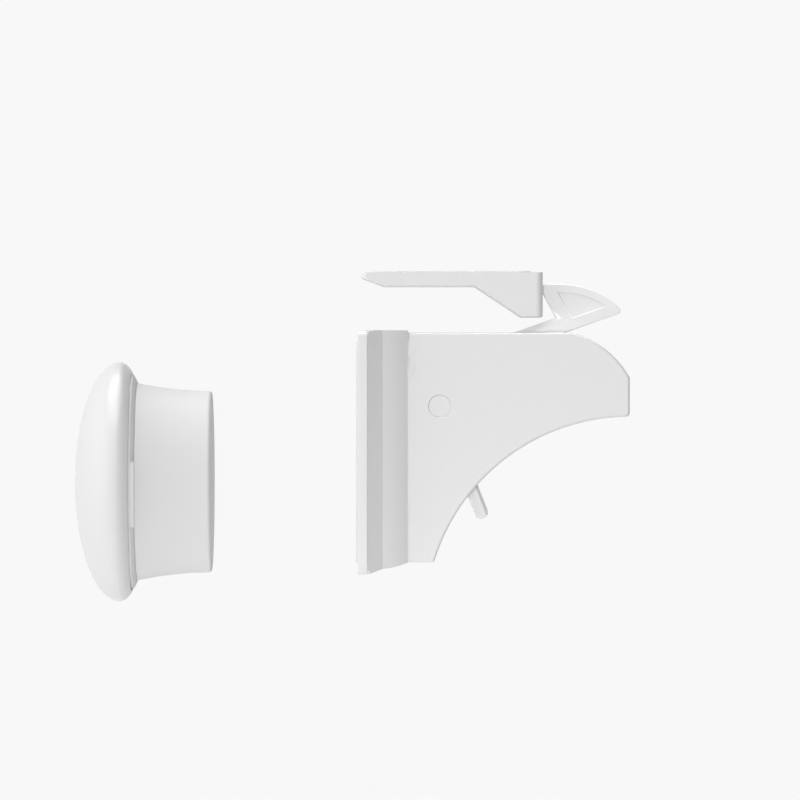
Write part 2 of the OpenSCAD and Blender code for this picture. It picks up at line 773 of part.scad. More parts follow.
// Outline of the dome from its tip to its back edge, in radius and length
dome_points = concat(
    [for (i = [0:profile_steps])
        let (angle = 90 - 90*i/profile_steps) [dome_r*cos(angle), wide_at + dome_d*sin(angle)]],
    [for (i = [1:profile_steps/2])
        let (angle = roll_angle*i/(profile_steps/2))
        [dome_r - roll_drop*(1 - cos(angle)), wide_at - roll_d*sin(angle)]]);
hollow_points = [for (i = [0:profile_steps])
    let (angle = 90 - 90*i/profile_steps)
    [mouth_r*cos(angle), wide_at + (dome_d - dome_wall)*sin(angle)]];
// How far along the key the dome's hollow reaches at a radius
function hollow_at(r) = wide_at + (dome_d - dome_wall)*sqrt(1 - pow(r/mouth_r, 2));
screw_seat = barrel_l - collar_web;
module key_dome() {
    color(white) on_key() difference() {
        union() {
            rotate_extrude() difference() {
                polygon(concat(dome_points, [[0, rim_at]]));
                polygon(concat(hollow_points, [[mouth_r, rim_at - cut], [0, rim_at - cut]]));
            }
            at_key_screws() translate([0, 0, barrel_l])
                cylinder(r = key_boss_r, h = hollow_at(key_screw_r) + dome_wall/2 - barrel_l);
        }
        at_key_screws() translate([0, 0, barrel_l - cut])
            cylinder(r = screw_r + run_fit, h = key_screw_grip + screw_r + cut);
    }
}
// The collar's ring in radius and length: a spigot in the barrel, the band and a lip in the dome
module collar_ring() {
    bore = barrel_bore - barrel_wall;
    difference() {
        polygon([[0, barrel_l - collar_spigot], [barrel_bore - fit, barrel_l - collar_spigot],
                 [barrel_bore - fit, barrel_l], [flare_r, barrel_l], [collar_r, rim_at - strip_w],
                 [collar_r, rim_at + collar_lip], [0, rim_at + collar_lip]]);
        translate([-cut, barrel_l - collar_spigot - cut])
            square([bore + cut, collar_spigot - collar_web + cut]);
        translate([-cut, barrel_l]) square([bore + cut, 2*band_w + collar_lip]);
    }
}
module key_collar() {
    color(white) on_key() difference() {
        union() {
            rotate_extrude() collar_ring();
            for (i = [0:key_lugs_n - 1])
                translate([0, 0, barrel_l]) linear_extrude(height = band_w + collar_lip/2) intersection() {
                    difference() {
                        circle(r = collar_r - fit);
                        circle(r = flare_r - band_drop);
                    }
                    rotate(360*i/key_lugs_n - 90 - lug_turn)
                        wedge(-lug_angle/2, lug_angle/2, 2*dome_r);
                }
        }
        at_key_screws() translate([0, 0, screw_seat - cut])
            cylinder(r = screw_r + fit, h = collar_web + 2*cut);
    }
}
module key_barrel() {
    flare_c = [barrel_r + flare_arc_r, barrel_back];
    round_c = [barrel_r - barrel_round, barrel_back + barrel_round];
    color(white) on_key() rotate_extrude() difference() {
        translate([0, barrel_back]) square([flare_r, barrel_l - barrel_back]);
        translate(flare_c) circle(r = flare_arc_r, $fn = wide_fn);
        difference() {
            translate([round_c.x, barrel_back - cut]) square([flare_r, barrel_round + cut]);
            translate(round_c) circle(r = barrel_round);
        }
        translate([-cut, barrel_floor]) square([barrel_bore + cut, barrel_l]);
        translate([-cut, barrel_back - cut]) square([key_pad_r + cut, pad_t - key_pad_proud + cut]);
    }
}
module key_carrier() {
    bore = key_magnet_r + fit;
    color(white) on_key() rotate_extrude() difference() {
        translate([0, barrel_floor]) square([barrel_bore - fit, carrier_end - barrel_floor]);
        translate([-cut, barrel_floor - cut]) square([bore + cut, yoke_end - barrel_floor + cut]);
        translate([-cut, yoke_end - cut]) square([bore*carrier_mouth_share + cut, carrier_t + 2*cut]);
    }
}
module key_magnet() {
    color(nickel) on_key() translate([0, 0, barrel_floor]) cylinder(r = key_magnet_r, h = key_magnet_t);
}
module key_yoke() {
    color(steel) on_key() translate([0, 0, yoke_at]) cylinder(r = key_magnet_r, h = yoke_t);
}
module key_pad() {
    color(foam) on_key() cylinder(r = key_pad_r - fit, h = pad_t);
}
module key_screws() {
    color(steel) on_key() at_key_screws() translate([0, 0, screw_seat - pan_head_t])
        rotate_extrude() polygon([[0, 0], [screw_head_r*web_top_share, 0],
            [screw_head_r, pan_head_t/2], [screw_head_r, pan_head_t], [screw_r, pan_head_t],
            [screw_r, pan_head_t + collar_web + key_screw_grip - screw_r],
            [screw_r/2, pan_head_t + collar_web + key_screw_grip],
            [0, pan_head_t + collar_web + key_screw_grip]]);
}

back_plate();
case_pad();
plate_screws();
case_shell();
latch_pin();
lever_pin();
latch_spring();
latch_arm();
latch_magnet();
magnet_lid();
hold_lever();
catch_body();
catch_pad();
key_dome();
key_collar();
key_barrel();
key_carrier();
key_magnet();
key_yoke();
key_pad();
key_screws();
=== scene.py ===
# %% [markdown]
# # A magnetic cabinet safety lock
# The lock has three units: a latch case that is stuck on by its back, a catch that is stuck on above it, and
# a round key that is held in the hand. The exact solids come from a CAD program and are loaded here as a
# fixed frame. Blender's work is to soften their edges, give every surface its finish, and light them.

# %% Load the frame
import bpy, bmesh, math
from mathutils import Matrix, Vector


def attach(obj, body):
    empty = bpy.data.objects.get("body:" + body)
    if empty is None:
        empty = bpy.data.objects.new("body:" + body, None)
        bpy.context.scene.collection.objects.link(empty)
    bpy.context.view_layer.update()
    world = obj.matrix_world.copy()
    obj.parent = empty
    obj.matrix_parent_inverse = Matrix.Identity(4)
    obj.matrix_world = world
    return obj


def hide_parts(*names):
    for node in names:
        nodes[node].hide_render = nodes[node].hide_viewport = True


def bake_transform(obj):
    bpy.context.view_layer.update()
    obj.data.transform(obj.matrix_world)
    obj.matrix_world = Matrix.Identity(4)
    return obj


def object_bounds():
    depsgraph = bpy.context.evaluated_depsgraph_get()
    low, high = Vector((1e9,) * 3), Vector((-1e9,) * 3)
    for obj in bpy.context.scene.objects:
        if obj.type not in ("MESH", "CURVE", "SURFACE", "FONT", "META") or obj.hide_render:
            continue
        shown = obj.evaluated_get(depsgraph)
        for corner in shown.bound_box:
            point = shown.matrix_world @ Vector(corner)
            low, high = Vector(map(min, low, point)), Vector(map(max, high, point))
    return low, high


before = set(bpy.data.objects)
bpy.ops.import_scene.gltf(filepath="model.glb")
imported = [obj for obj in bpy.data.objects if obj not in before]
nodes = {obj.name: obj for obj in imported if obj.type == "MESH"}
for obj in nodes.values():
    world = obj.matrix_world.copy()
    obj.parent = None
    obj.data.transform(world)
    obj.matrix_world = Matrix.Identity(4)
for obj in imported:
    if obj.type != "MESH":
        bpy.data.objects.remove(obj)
scene = bpy.context.scene
cad_box = [list(corner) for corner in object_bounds()]
MM, MICRON = 1e-3, 1e-6
X, Y, Z = range(3)


def in_mm(point):
    return [round(length / MM, 2) for length in point]


print("pieces:", len(nodes), "box in mm:", [in_mm(corner) for corner in cad_box])

# %% [markdown]
# ## Small helpers for shader nodes
# Every finish below is a little tree of nodes. Helpers that add a node, fill its inputs and join it up
# keep those trees short enough to read. An input may be a number, a colour or another node's output, and
# it goes by its name, or by its number where names repeat.

# %% Node helpers
def add(tree, kind, inputs=None, **settings):
    made = tree.nodes.new(kind)
    for name, value in settings.items():
        setattr(made, name, value)
    for name, value in (inputs or {}).items():
        socket = made.inputs[name]
        if isinstance(value, bpy.types.NodeSocket):
            tree.links.new(value, socket)
        else:
            socket.default_value = value
    return made


def maths(tree, operation, *values, clamp=False):
    made = add(tree, "ShaderNodeMath", dict(enumerate(values)), operation=operation, use_clamp=clamp)
    return made.outputs[0]


def remap(tree, value, low, high, to_low=0.0, to_high=1.0, smooth=False):
    limits = {"Value": value, "From Min": low, "From Max": high, "To Min": to_low, "To Max": to_high}
    kind = "SMOOTHSTEP" if smooth else "LINEAR"
    return add(tree, "ShaderNodeMapRange", limits, interpolation_type=kind).outputs["Result"]


print("node helpers ready")

# %% [markdown]
# A Mix node lists its sockets once for each kind of data, so those for colours go by number. A group gets
# its named sockets from two lists, and is filled from what it is given towards its result.

# %% Colour and group helpers
FLOAT, COLOUR, VECTOR = "NodeSocketFloat", "NodeSocketColor", "NodeSocketVector"
MIX_FIRST, MIX_SECOND, MIX_RESULT = 6, 7, 2


def grey(value, warm=0.0):
    return (value + warm, value, value - warm, 1.0)


def mixed_colour(tree, factor, first, second):
    inputs = {"Factor": factor, MIX_FIRST: first, MIX_SECOND: second}
    return add(tree, "ShaderNodeMix", inputs, data_type="RGBA").outputs[MIX_RESULT]


def new_group(name, inputs, outputs):
    tree = bpy.data.node_groups.new(name, "ShaderNodeTree")
    for label, kind, value in inputs:
        socket = tree.interface.new_socket(label, in_out="INPUT", socket_type=kind)
        if value is not None:
            socket.default_value = value
    for label, kind in outputs:
        tree.interface.new_socket(label, in_out="OUTPUT", socket_type=kind)
    return tree, tree.nodes.new("NodeGroupInput").outputs, tree.nodes.new("NodeGroupOutput").inputs


print("colour and group helpers ready")

# %% [markdown]
# ## The skin of moulded plastic
# Steel moulds are spark-eroded to a fine even grain, and the plastic takes it over. Molten plastic also
# cools unevenly, so a large white face is never one tone. A noise texture at a few tenths of a millimetre
# gives the grain, a second one at one or two millimetres gives the drift in tone, and both are wanted on
# all the white pieces, so they are one node group with named sockets.

# %% Group: moulded skin
def moulded_skin():
    tree, given, result = new_group(
        "moulded skin",
        [("Grain per m", FLOAT, 4000.0), ("Drift per m", FLOAT, 500.0), ("Light", COLOUR, grey(0.84)),
         ("Shade", COLOUR, grey(0.80)), ("Smooth", FLOAT, 0.40), ("Rough", FLOAT, 0.52)],
        [("Colour", COLOUR), ("Roughness", FLOAT), ("Height", FLOAT)])
    place = add(tree, "ShaderNodeTexCoord").outputs["Object"]
    grain = add(tree, "ShaderNodeTexNoise", {"Vector": place, "Scale": given["Grain per m"],
                                             "Detail": 3.0, "Roughness": 0.6})
    drift = add(tree, "ShaderNodeTexNoise", {"Vector": place, "Scale": given["Drift per m"],
                                             "Detail": 4.0, "Roughness": 0.55, "Distortion": 0.6})
    even = remap(tree, drift.outputs["Fac"], 0.15, 0.85)
    gloss = remap(tree, even, 0.0, 1.0, given["Smooth"], given["Rough"])
    tree.links.new(mixed_colour(tree, even, given["Shade"], given["Light"]), result["Colour"])
    tree.links.new(gloss, result["Roughness"])
    tree.links.new(grain.outputs["Fac"], result["Height"])
    return tree


MOULDED = moulded_skin()
print("group:", MOULDED.name)

# %% [markdown]
# ## The skin of drawn and plated metal
# Wire, pins and screws are pulled or turned, which leaves fine lines along or round them. Stretching the
# noise in one direction makes such lines. The stretch is a vector input, so a pin and a disc can each
# have lines that run their own way.

# %% Group: drawn metal
def drawn_metal():
    tree, given, result = new_group(
        "drawn metal",
        [("Stretch", VECTOR, (9000.0, 300.0, 9000.0)), ("Bright", COLOUR, grey(0.66)),
         ("Dull", COLOUR, grey(0.52)), ("Smooth", FLOAT, 0.22), ("Rough", FLOAT, 0.42)],
        [("Colour", COLOUR), ("Roughness", FLOAT), ("Height", FLOAT)])
    place = add(tree, "ShaderNodeTexCoord").outputs["Object"]
    pulled = add(tree, "ShaderNodeVectorMath", {0: place, 1: given["Stretch"]}, operation="MULTIPLY")
    lines = add(tree, "ShaderNodeTexNoise", {"Vector": pulled.outputs[0], "Scale": 1.0, "Detail": 3.0})
    haze = add(tree, "ShaderNodeTexNoise", {"Vector": place, "Scale": 240.0, "Detail": 3.0})
    gloss = remap(tree, haze.outputs["Fac"], 0.3, 0.7, given["Smooth"], given["Rough"])
    tone = mixed_colour(tree, lines.outputs["Fac"], given["Dull"], given["Bright"])
    tree.links.new(tone, result["Colour"])
    tree.links.new(gloss, result["Roughness"])
    tree.links.new(lines.outputs["Fac"], result["Height"])
    return tree


DRAWN = drawn_metal()
print("group:", DRAWN.name)

# %% [markdown]
# ## The skin of foam tape
# The adhesive pads are closed-cell foam: a sheet of tiny bubbles, each about a quarter of a millimetre
# across. A Voronoi texture divides space into such cells, and the distance to a cell's middle serves as
# its hollow.

# %% Group: foam cells
def foam_cells():
    tree, given, result = new_group(
        "foam cells",
        [("Cells per m", FLOAT, 3600.0), ("Wall", COLOUR, grey(0.84)), ("Hollow", COLOUR, grey(0.74))],
        [("Colour", COLOUR), ("Height", FLOAT)])
    place = add(tree, "ShaderNodeTexCoord").outputs["Object"]
    cells = add(tree, "ShaderNodeTexVoronoi", {"Vector": place, "Scale": given["Cells per m"]})
    clouds = add(tree, "ShaderNodeTexNoise", {"Vector": place, "Scale": 160.0, "Detail": 2.0})
    both = maths(tree, "MULTIPLY", cells.outputs["Distance"], clouds.outputs["Fac"])
    tree.links.new(mixed_colour(tree, both, given["Hollow"], given["Wall"]), result["Colour"])
    tree.links.new(cells.outputs["Distance"], result["Height"])
    return tree


FOAM = foam_cells()
print("group:", FOAM.name)

# %% [markdown]
# ## Finishes
# A finish is one Principled shader fed by one of the groups. What varies over the surface comes from the
# group; what is the same all over, such as the index of refraction, is written on the shader itself.
# The bump is a real depth in thousandths of a millimetre, a few of them for mould grain.

# %% Finish builder
def finish(name, group, values, bump, **plain):
    material = bpy.data.materials.new(name)
    material.use_nodes = True
    tree = material.node_tree
    shader = tree.nodes["Principled BSDF"]
    skin = add(tree, "ShaderNodeGroup", values, node_tree=group).outputs
    relief = add(tree, "ShaderNodeBump", {"Height": skin["Height"], "Distance": bump * MICRON,
                                          "Strength": 1.0})
    tree.links.new(relief.outputs["Normal"], shader.inputs["Normal"])
    tree.links.new(skin["Colour"], shader.inputs["Base Color"])
    if "Roughness" in skin:
        tree.links.new(skin["Roughness"], shader.inputs["Roughness"])
    for label, value in plain.items():
        shader.inputs[label.replace("_", " ")].default_value = value
    return material


def white(name, light, shade, smooth, rough, grain, drift, bump, **plain):
    values = {"Light": grey(light), "Shade": grey(shade), "Smooth": smooth, "Rough": rough,
              "Grain per m": grain, "Drift per m": drift}
    return finish(name, MOULDED, values, bump, **plain)


print("finish builders ready")

# %% [markdown]
# The case's plastic is an even white that mirrors little, and its lever pin is a rougher one. The latch and
# the lever are glossier, and their white is painted lighter than the case's to make up for the shade that
# falls on them where they sit back between the case and the catch. The key is a shade darker, with a smooth
# dome and a matt barrel.

# %% White finishes
CASE_WHITE = white("case white", light=0.81, shade=0.795, smooth=0.2, rough=0.26, grain=3600.0, drift=500.0,
                   bump=3.0, IOR=1.52, Specular_IOR_Level=0.28)
KEY_WHITE = white("key white", light=0.75, shade=0.746, smooth=0.24, rough=0.28, grain=3000.0, drift=700.0,
                  bump=1.0, IOR=1.53, Specular_IOR_Level=0.15)
BARREL_WHITE = white("barrel white", light=0.75, shade=0.746, smooth=0.46, rough=0.52, grain=3000.0,
                     drift=700.0, bump=2.0, IOR=1.45, Specular_IOR_Level=0.15)
# Painted light: this white is lighter than the case's to make up for the shade on the recessed latch and
# lever.
LATCH_WHITE_WITH_PAINTED_LIGHT = white("latch white with painted light", light=0.88, shade=0.865, smooth=0.16, rough=0.22, grain=3600.0,
                    drift=500.0, bump=2.0, IOR=1.52, Coat_Weight=0.8, Coat_Roughness=0.1, Coat_IOR=1.6)
PIN_WHITE = white("pin white", light=0.81, shade=0.795, smooth=0.32, rough=0.44, grain=2600.0, drift=700.0,
                  bump=6.0, IOR=1.52)
print("materials so far:", len(bpy.data.materials))

# %% [markdown]
# The metals and foams use the same builder with their own groups. Steel lines run along the pins (the
# frame's Y axis); the magnets' plating is nickel, which is a little warm.

# %% Finishes for metal and foam
PIN_STEEL = finish("pin steel", DRAWN, {"Stretch": (9000.0, 350.0, 9000.0)}, bump=3.0, Metallic=1.0)
WIRE_STEEL = finish("wire steel", DRAWN, {"Stretch": (2500.0, 9000.0, 2500.0), "Bright": grey(0.62),
                                          "Dull": grey(0.46)}, bump=3.0, Metallic=1.0)
SCREW_STEEL = finish("screw steel", DRAWN, {"Stretch": (9000.0, 1500.0, 1500.0), "Bright": grey(0.70),
                                            "Dull": grey(0.58)}, bump=3.0, Metallic=1.0)
YOKE_STEEL = finish("yoke steel", DRAWN, {"Stretch": (900.0, 6000.0, 900.0), "Bright": grey(0.60),
                                          "Dull": grey(0.50)}, bump=3.0, Metallic=1.0)
NICKEL = finish("nickel plate", DRAWN, {"Stretch": (5000.0, 1200.0, 1200.0), "Bright": grey(0.74, 0.02),
                                        "Dull": grey(0.66, 0.02), "Smooth": 0.12, "Rough": 0.24},
                bump=2.0, Metallic=1.0)
TAPE_FOAM = finish("tape foam", FOAM, {}, bump=60.0, Roughness=0.85)
PAD_FOAM = finish("pad foam", FOAM, {"Cells per m": 5200.0, "Wall": grey(0.9), "Hollow": grey(0.82)},
                  bump=40.0, Roughness=0.8)
print("materials with metal and foam:", len(bpy.data.materials))

# %% [markdown]
# ## Soft edges
# A mould leaves no sharp edge: each one has a radius of a few tenths of a millimetre, and that radius is
# what catches the light and draws the outline of a white piece on a white ground. The CAD solids have
# sharp edges, so each piece in view is copied, its triangles are joined into whole faces, and its outer
# edges are bevelled. The copy then stands for the solid. A bevel modifier could do this too, but it would
# cut the triangles that the faces are made of, and one narrow step anywhere would hold all bevels down.
# So the edges are taken in passes, each with its own width. A cut across a piece gives a row of edges a
# place to stop at, so that the end of a bevel pulls on nothing that is curved. Points that bevels leave on
# top of each other are welded at the end.

# %% Edge softener
CAD_WELD, BEVEL_WELD = 0.1 * MICRON, 1.0 * MICRON
FLAT_BELOW, EDGE_ABOVE, SHADED_SHARP_ABOVE = (math.radians(angle) for angle in (0.4, 28.0, 40.0))


def bevelled(work, pick, width, segments):
    sharp = [edge for edge in work.edges if len(edge.link_faces) == 2 and edge.is_convex
             and edge.calc_face_angle(0.0) > EDGE_ABOVE and pick(edge)]
    bmesh.ops.bevel(work, geom=sharp, offset=width * MM, offset_type="OFFSET", segments=segments,
                    profile=0.5, affect="EDGES", clamp_overlap=False)
    return len(sharp)


def softened(node, *passes, cuts=()):
    mesh = nodes[node].data.copy()
    mesh.transform(nodes[node].matrix_world)
    made = bpy.data.objects.new("soft_" + node, mesh)
    scene.collection.objects.link(made)
    work = bmesh.new()
    work.from_mesh(mesh)
    bmesh.ops.remove_doubles(work, verts=work.verts, dist=CAD_WELD)
    bmesh.ops.dissolve_limit(work, angle_limit=FLAT_BELOW, verts=work.verts, edges=work.edges)
    for cut in cuts:
        bmesh.ops.bisect_plane(work, geom=work.verts[:] + work.edges[:] + work.faces[:], dist=CAD_WELD,
                               plane_co=(cut * MM, 0.0, 0.0), plane_no=(1.0, 0.0, 0.0))
    counts = [bevelled(work, *each) for each in passes]
    print(node, "edges softened in each pass:", counts)
    bmesh.ops.remove_doubles(work, verts=work.verts, dist=BEVEL_WELD)
    bmesh.ops.dissolve_degenerate(work, edges=work.edges, dist=BEVEL_WELD)
    for face in work.faces:
        face.smooth = True
    work.to_mesh(mesh)
    work.free()
    mesh.set_sharp_from_angle(angle=SHADED_SHARP_ABOVE)
    made.modifiers.new("even shading", "WEIGHTED_NORMAL").keep_sharp = True
    mesh.materials.clear()
    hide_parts(node)
    return made


def dress(made, material, body):
    made.data.materials.append(material)
    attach(made, body)


print("edge softener ready")

# %% [markdown]
# The passes need to know which edges lie on the two flat sides of a piece, and which of those belong to
# a pin's hole, to a shallow pocket or to the inside. All of that can be read from where the corners of an
# edge's faces are. Places and distances in the cells for the pieces are in millimetres.

# %% Choosing edges
ON_PLANE = 0.02


def at_width(vertex, half_width):
    return abs(abs(vertex.co.y) - half_width * MM) < ON_PLANE * MM


def on_sides(edge, half_width):
    return all(at_width(end, half_width) for end in edge.verts)


def of_pocket(edge, half_width, depth):
    return on_sides(edge, half_width) and any(at_width(corner, half_width - depth)
                                              for face in edge.link_faces for corner in face.verts)


def outside_box(edge, low, high):
    return not all(low[axis] * MM < end.co[axis] < high[axis] * MM
                   for end in edge.verts for axis in (X, Y, Z))


def from_axis(edge, centre, first, second):
    return [math.hypot(end.co[first] - centre[first], end.co[second] - centre[second]) / MM
            for end in edge.verts]


def middle_of(node):
    points = [nodes[node].matrix_world @ vertex.co for vertex in nodes[node].data.vertices]
    return [(min(point[axis] for point in points) + max(point[axis] for point in points)) / 2
            for axis in (X, Y, Z)]


LEVER_PIN, LATCH_PIN, KEY = (middle_of(node) for node in ("lever_pin", "latch_pin", "key_barrel"))
print("lever pin at mm:", in_mm(LEVER_PIN), "latch pin:", in_mm(LATCH_PIN), "key:", in_mm(KEY))

# %% [markdown]
# ## The case and its plate
# The case has the roundest outline of all the pieces. The softening starts at a cut where the bead of the
# base ends, and the rim of the lever pin's hole gets a narrower one. On the plate only the edges round its
# rim are softened, outside a box that holds everything within.

# %% Case and plate
CASE_HALF, PIN_RIM, BEAD_END, CUT_SLACK = 12.0, 4.0, 12.7, 0.01
PLATE_INSIDE = ((-1.0, -17.0, -25.8), (9.0, 17.0, 25.8))


def case_outline(edge):
    beyond_bead = all(end.co.x > (BEAD_END - CUT_SLACK) * MM for end in edge.verts)
    return on_sides(edge, CASE_HALF) and min(from_axis(edge, LEVER_PIN, X, Z)) > PIN_RIM and beyond_bead


def case_pin_rim(edge):
    return on_sides(edge, CASE_HALF) and max(from_axis(edge, LEVER_PIN, X, Z)) < PIN_RIM


shell = softened("case_shell", (case_outline, 0.6, 4), (case_pin_rim, 0.2, 3), cuts=[BEAD_END])
dress(shell, CASE_WHITE, "case")
plate = softened("back_plate", (lambda edge: outside_box(edge, *PLATE_INSIDE), 0.3, 4))
dress(plate, CASE_WHITE, "case")

# %% [markdown]
# ## The latch
# The hook has a shallow window in each side, whose sill rises to the right. The sill's edge is rounded most
# and draws a light line. An edge that climbs from the sill is one narrow flat, and the others, like the
# hook's own outline, are small roundings.

# %% Latch
HOOK_HALF, HOOK_START, WINDOW_DEPTH = 4.2, 22.0, 0.5
SILL_X, SILL_Z, SILL_RISE, SILL_BAND = 49.7, 31.1, 0.364, 0.4


def of_window(edge):
    return of_pocket(edge, HOOK_HALF, WINDOW_DEPTH)


def above_sill(edge):
    return [(end.co.z - SILL_Z * MM - SILL_RISE * (end.co.x - SILL_X * MM)) / MM for end in edge.verts]


latch = softened("latch_arm",
                 (lambda edge: of_window(edge) and max(above_sill(edge)) < SILL_BAND, 0.45, 2),
                 (lambda edge: of_window(edge) and min(above_sill(edge)) < SILL_BAND, 0.16, 1),
                 (lambda edge: of_window(edge) and max(above_sill(edge)) > SILL_BAND, 0.14, 2),
                 (lambda edge: on_sides(edge, HOOK_HALF) and edge.verts[0].co.x > HOOK_START * MM, 0.15, 3))
dress(latch, LATCH_WHITE_WITH_PAINTED_LIGHT, "latch")

# %% [markdown]
# ## The lever
# The finger tab has one sloping flat along its right edge, which is wider than it is deep. A bevel is as
# deep as it is wide, so the points at its deep end are moved out again.

# %% Lever
TAB_HALF, TAB_LEAN, TAB_RIGHT = 4.0, math.radians(21.5), 1.1
SLOPE_WIDE, SLOPE_DEEP, SLOPE_SHARP_ABOVE = 0.72, 0.46, math.radians(25.0)


def right_of_tab(edge):
    across = Vector((math.cos(TAB_LEAN), 0.0, math.sin(TAB_LEAN)))
    return [(end.co - Vector(LEVER_PIN)).dot(across) / MM for end in edge.verts]


def tab_right_edge(edge):
    return on_sides(edge, TAB_HALF) and min(right_of_tab(edge)) > TAB_RIGHT


lever = softened("hold_lever", (tab_right_edge, SLOPE_WIDE, 1))
for vertex in lever.data.vertices:
    if at_width(vertex, TAB_HALF - SLOPE_WIDE):
        vertex.co.y *= (TAB_HALF - SLOPE_DEEP) / (TAB_HALF - SLOPE_WIDE)
lever.data.set_sharp_from_angle(angle=SLOPE_SHARP_ABOVE)
dress(lever, LATCH_WHITE_WITH_PAINTED_LIGHT, "lever")

# %% [markdown]
# ## The catch
# Only the edges outside the catch's hollow, and below its stuck-on face, are softened.

# %% Catch
CATCH_INSIDE = ((3.3, -7.6, 32.0), (40.6, 7.6, 60.0))
STUCK_ABOVE = 41.3


def catch_outside(edge):
    below_stuck = all(end.co.z < STUCK_ABOVE * MM for end in edge.verts)
    return outside_box(edge, *CATCH_INSIDE) and below_stuck


catch = softened("catch_body", (catch_outside, 0.15, 3))
dress(catch, CASE_WHITE, "catch")

# %% [markdown]
# ## The spring
# One leg of the torsion spring stands on the plate and the other is hooked under the latch's arm. Its copy
# gets a steel finish and stays where it is.

# %% Spring
spring = softened("latch_spring")
spring.data.materials.append(WIRE_STEEL)
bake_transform(spring)
print("spring bends about mm:", in_mm(LATCH_PIN))

# %% [markdown]
# ## The key
# Only edges far from the key's axis are on the outside.

# %% Key
KEY_OUTSIDE = 21.5
for node, width, material in [("key_dome", 0.25, KEY_WHITE), ("key_collar", 0.12, BARREL_WHITE),
                              ("key_barrel", 0.15, BARREL_WHITE)]:
    piece = softened(node, (lambda edge: min(from_axis(edge, KEY, Y, Z)) > KEY_OUTSIDE, width, 3))
    dress(piece, material, "key")

# %% [markdown]
# ## The pads
# The case and the catch are stuck on with foam tape, and the key has a foam disc on its face. Foam that
# is pressed between two faces stands out a little at its sides, so both rims of a pad are rounded.

# %% Pads
PAD_ROUND = 0.3
for node, material, slot, body in [("case_pad", TAPE_FOAM, "pad_foam", "case"),
                                   ("catch_pad", TAPE_FOAM, "pad_foam", "catch"),
                                   ("key_pad", PAD_FOAM, "key_foam", "key")]:
    pad = softened(node, (lambda edge: True, PAD_ROUND, 3))
    dress(pad, material, body)

# %% [markdown]
# ## Pieces that keep their CAD surface
# Pins, screws, magnets and the pieces that hold them have the right shape already, so they only get their
# finish.

# %% Finishes on the other solids
for node, material in [("plate_screws", SCREW_STEEL), ("key_screws", SCREW_STEEL), ("latch_pin", PIN_STEEL),
                       ("lever_pin", PIN_WHITE), ("latch_magnet", NICKEL), ("key_magnet", NICKEL),
                       ("key_yoke", YOKE_STEEL), ("magnet_lid", CASE_WHITE), ("key_carrier", CASE_WHITE)]:
    nodes[node].data.materials.clear()
    nodes[node].data.materials.append(material)
print("finished solids in place")

# %% [markdown]
# ## Camera
# The picture is taken from far away with a long lens, square to the side of the case, so that edges that
# run away from the camera almost vanish. A point in the middle of the frame and the width that the frame
# covers fix the lens.

# %% Camera
AIM = Vector((10.08, -6.0, 12.0)) * MM
DISTANCE, SPAN, SENSOR = 1500.0 * MM, 184.6 * MM, 36.0
lens = bpy.data.cameras.new("long lens")
lens.sensor_width = SENSOR
lens.lens = SENSOR * DISTANCE / SPAN
lens.clip_end = 50.0
camera = bpy.data.objects.new("camera", lens)
camera.location = AIM - Vector((0.0, DISTANCE, 0.0))
camera.rotation_euler = (math.radians(90.0), 0.0, 0.0)
scene.collection.objects.link(camera)
scene.camera = camera
print("lens in mm:", round(lens.lens, 1))

# %% [markdown]
# ## Light and ground
# White on white needs direction more than strength. The light here is a tent of pale cloth that is
# brightest on the left, bright above and dark on the right. A broad lamp behind the camera lights what faces
# it. Faces square to the camera come out light, faces turned to the right are darker, and nothing throws a
# hard shadow. One group works out the tent's strength from the direction of a ray: Left grows towards the
# left, Steep counts up and down alike and fades towards the right, and Above adds overhead what it takes
# away underfoot. The sum is held at zero or more.

# %% Group: tent light
def tent_light():
    tree, given, result = new_group(
        "tent light",
        [("Way", VECTOR, None), ("Left", FLOAT, 1.0), ("Steep", FLOAT, 0.7), ("Above", FLOAT, 0.2)],
        [("Strength", FLOAT)])
    way = add(tree, "ShaderNodeSeparateXYZ", {"Vector": given["Way"]}).outputs
    left = maths(tree, "MINIMUM", way["X"], 0.0)
    not_right = maths(tree, "SUBTRACT", 1.0, way["X"], clamp=True)
    steep = maths(tree, "MULTIPLY", maths(tree, "ABSOLUTE", way["Z"]), not_right)
    total = maths(tree, "MULTIPLY", steep, given["Steep"])
    total = maths(tree, "MULTIPLY_ADD", maths(tree, "MULTIPLY", left, left), given["Left"], total)
    total = maths(tree, "MULTIPLY_ADD", way["Z"], given["Above"], total)
    tree.links.new(maths(tree, "MAXIMUM", total, 0.0), result["Strength"])
    return tree


TENT = tent_light()
print("group:", TENT.name)

# %% [markdown]
# The camera sees the tent as one pale grey, which is the picture's background. The light that falls on
# matt surfaces follows the group. Glossy surfaces see the pale grey too, and a bright panel overhead and
# another one underfoot: the rounded edges mirror these panels as thin white lines. What glossy surfaces
# see is dimmer towards the right.

# %% Tent
PALE, PANEL, PANEL_FROM, PANEL_FULL, RIGHT_SHARE = 0.939, 9.0, 0.7, 0.92, 0.25
world = bpy.data.worlds.new("pale tent")
world.use_nodes = True
scene.world = world
tree = world.node_tree
tree.nodes.clear()
way = add(tree, "ShaderNodeTexCoord").outputs["Generated"]
tent = add(tree, "ShaderNodeGroup", {"Way": way, "Left": 1.445, "Steep": 0.53, "Above": 0.53},
           node_tree=TENT)
lit = add(tree, "ShaderNodeBackground", {"Color": grey(1.0), "Strength": tent.outputs["Strength"]})
ray = add(tree, "ShaderNodeLightPath").outputs
towards = add(tree, "ShaderNodeSeparateXYZ", {"Vector": way}).outputs
overhead = remap(tree, towards["Z"], PANEL_FROM, PANEL_FULL, 0.0, PANEL, smooth=True)
underfoot = remap(tree, towards["Z"], -PANEL_FROM, -PANEL_FULL, PALE, PALE + PANEL, smooth=True)
dim = remap(tree, towards["X"], 0.0, 1.0, 1.0, RIGHT_SHARE)
mirrored = maths(tree, "MULTIPLY", maths(tree, "ADD", overhead, underfoot), dim)
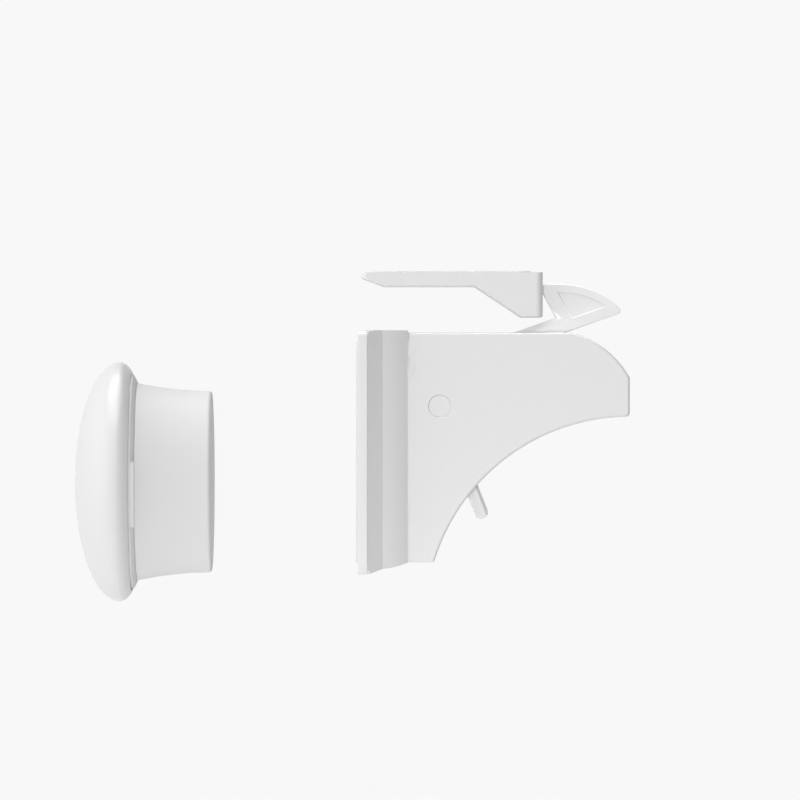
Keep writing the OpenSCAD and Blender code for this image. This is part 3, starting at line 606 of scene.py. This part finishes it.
level = add(tree, "ShaderNodeMix", {"Factor": ray["Is Glossy Ray"], "A": PALE, "B": mirrored}).outputs[0]
shown = add(tree, "ShaderNodeBackground", {"Color": grey(1.0), "Strength": level})
seen = maths(tree, "MAXIMUM", ray["Is Camera Ray"], ray["Is Glossy Ray"])
seen = maths(tree, "MAXIMUM", seen, ray["Is Transmission Ray"])
either = add(tree, "ShaderNodeMixShader", {"Fac": seen, 1: lit.outputs[0], 2: shown.outputs[0]})
add(tree, "ShaderNodeOutputWorld", {"Surface": either.outputs[0]})
print("tent nodes:", len(tree.nodes))

# %% [markdown]
# The lamp is a sun that shines level from behind the camera. Its wide angle keeps shadows soft, and glossy
# surfaces don't mirror it.

# %% Lamp
lamp = bpy.data.lights.new("front lamp", "SUN")
lamp.energy = 1.54
lamp.angle = math.radians(16.0)
lamp_place = bpy.data.objects.new("front lamp", lamp)
lamp_place.rotation_euler = Vector((0.0, -1.0, 0.0)).to_track_quat("Z", "Y").to_euler()
lamp_place.visible_glossy = False
scene.collection.objects.link(lamp_place)
print("lamp energy:", round(lamp.energy, 2))

# %% [markdown]
# The ground is a small disc of pale cloth some way under the object.

# %% Ground
GROUND_R, GROUND_DROP, FADE_FROM, FADE_TO = (length * MM for length in (200.0, 55.0, 60.0, 190.0))
ground_mesh = bpy.data.meshes.new("ground")
work = bmesh.new()
bmesh.ops.create_circle(work, cap_ends=True, radius=GROUND_R, segments=96)
work.to_mesh(ground_mesh)
work.free()
ground = bpy.data.objects.new("ground", ground_mesh)
ground.location = (0.0, 0.0, cad_box[0][Z] - GROUND_DROP)
scene.collection.objects.link(ground)
print("ground at mm:", in_mm(ground.location))

# %% [markdown]
# The cloth is matt and takes the soft shadow. A little light of its own brings it up towards the tone of
# the tent, and it thins out to clear towards its edge, so that no horizon shows. Its lower side is clear
# too, so that the object can be looked at from below.

# %% Cloth of the ground
cloth = bpy.data.materials.new("pale cloth")
cloth.use_nodes = True
tree = cloth.node_tree
tree.nodes.clear()
place = add(tree, "ShaderNodeTexCoord").outputs["Object"]
far = add(tree, "ShaderNodeVectorMath", {0: place}, operation="LENGTH").outputs["Value"]
fade = remap(tree, far, FADE_FROM, FADE_TO, smooth=True)
under = add(tree, "ShaderNodeNewGeometry").outputs["Backfacing"]
matt = add(tree, "ShaderNodeBsdfDiffuse", {"Color": grey(0.8)})
glow = add(tree, "ShaderNodeEmission", {"Color": grey(1.0), "Strength": 0.33})
solid = add(tree, "ShaderNodeAddShader", {0: matt.outputs[0], 1: glow.outputs[0]})
clear = add(tree, "ShaderNodeBsdfTransparent")
thinned = add(tree, "ShaderNodeMixShader", {"Fac": maths(tree, "MAXIMUM", fade, under),
                                            1: solid.outputs[0], 2: clear.outputs[0]})
add(tree, "ShaderNodeOutputMaterial", {"Surface": thinned.outputs[0]})
ground_mesh.materials.append(cloth)
print("cloth nodes:", len(tree.nodes))

# %% [markdown]
# ## Look
# Tones go into the picture as they are, without a film curve.

# %% Look
scene.view_settings.view_transform = "Standard"
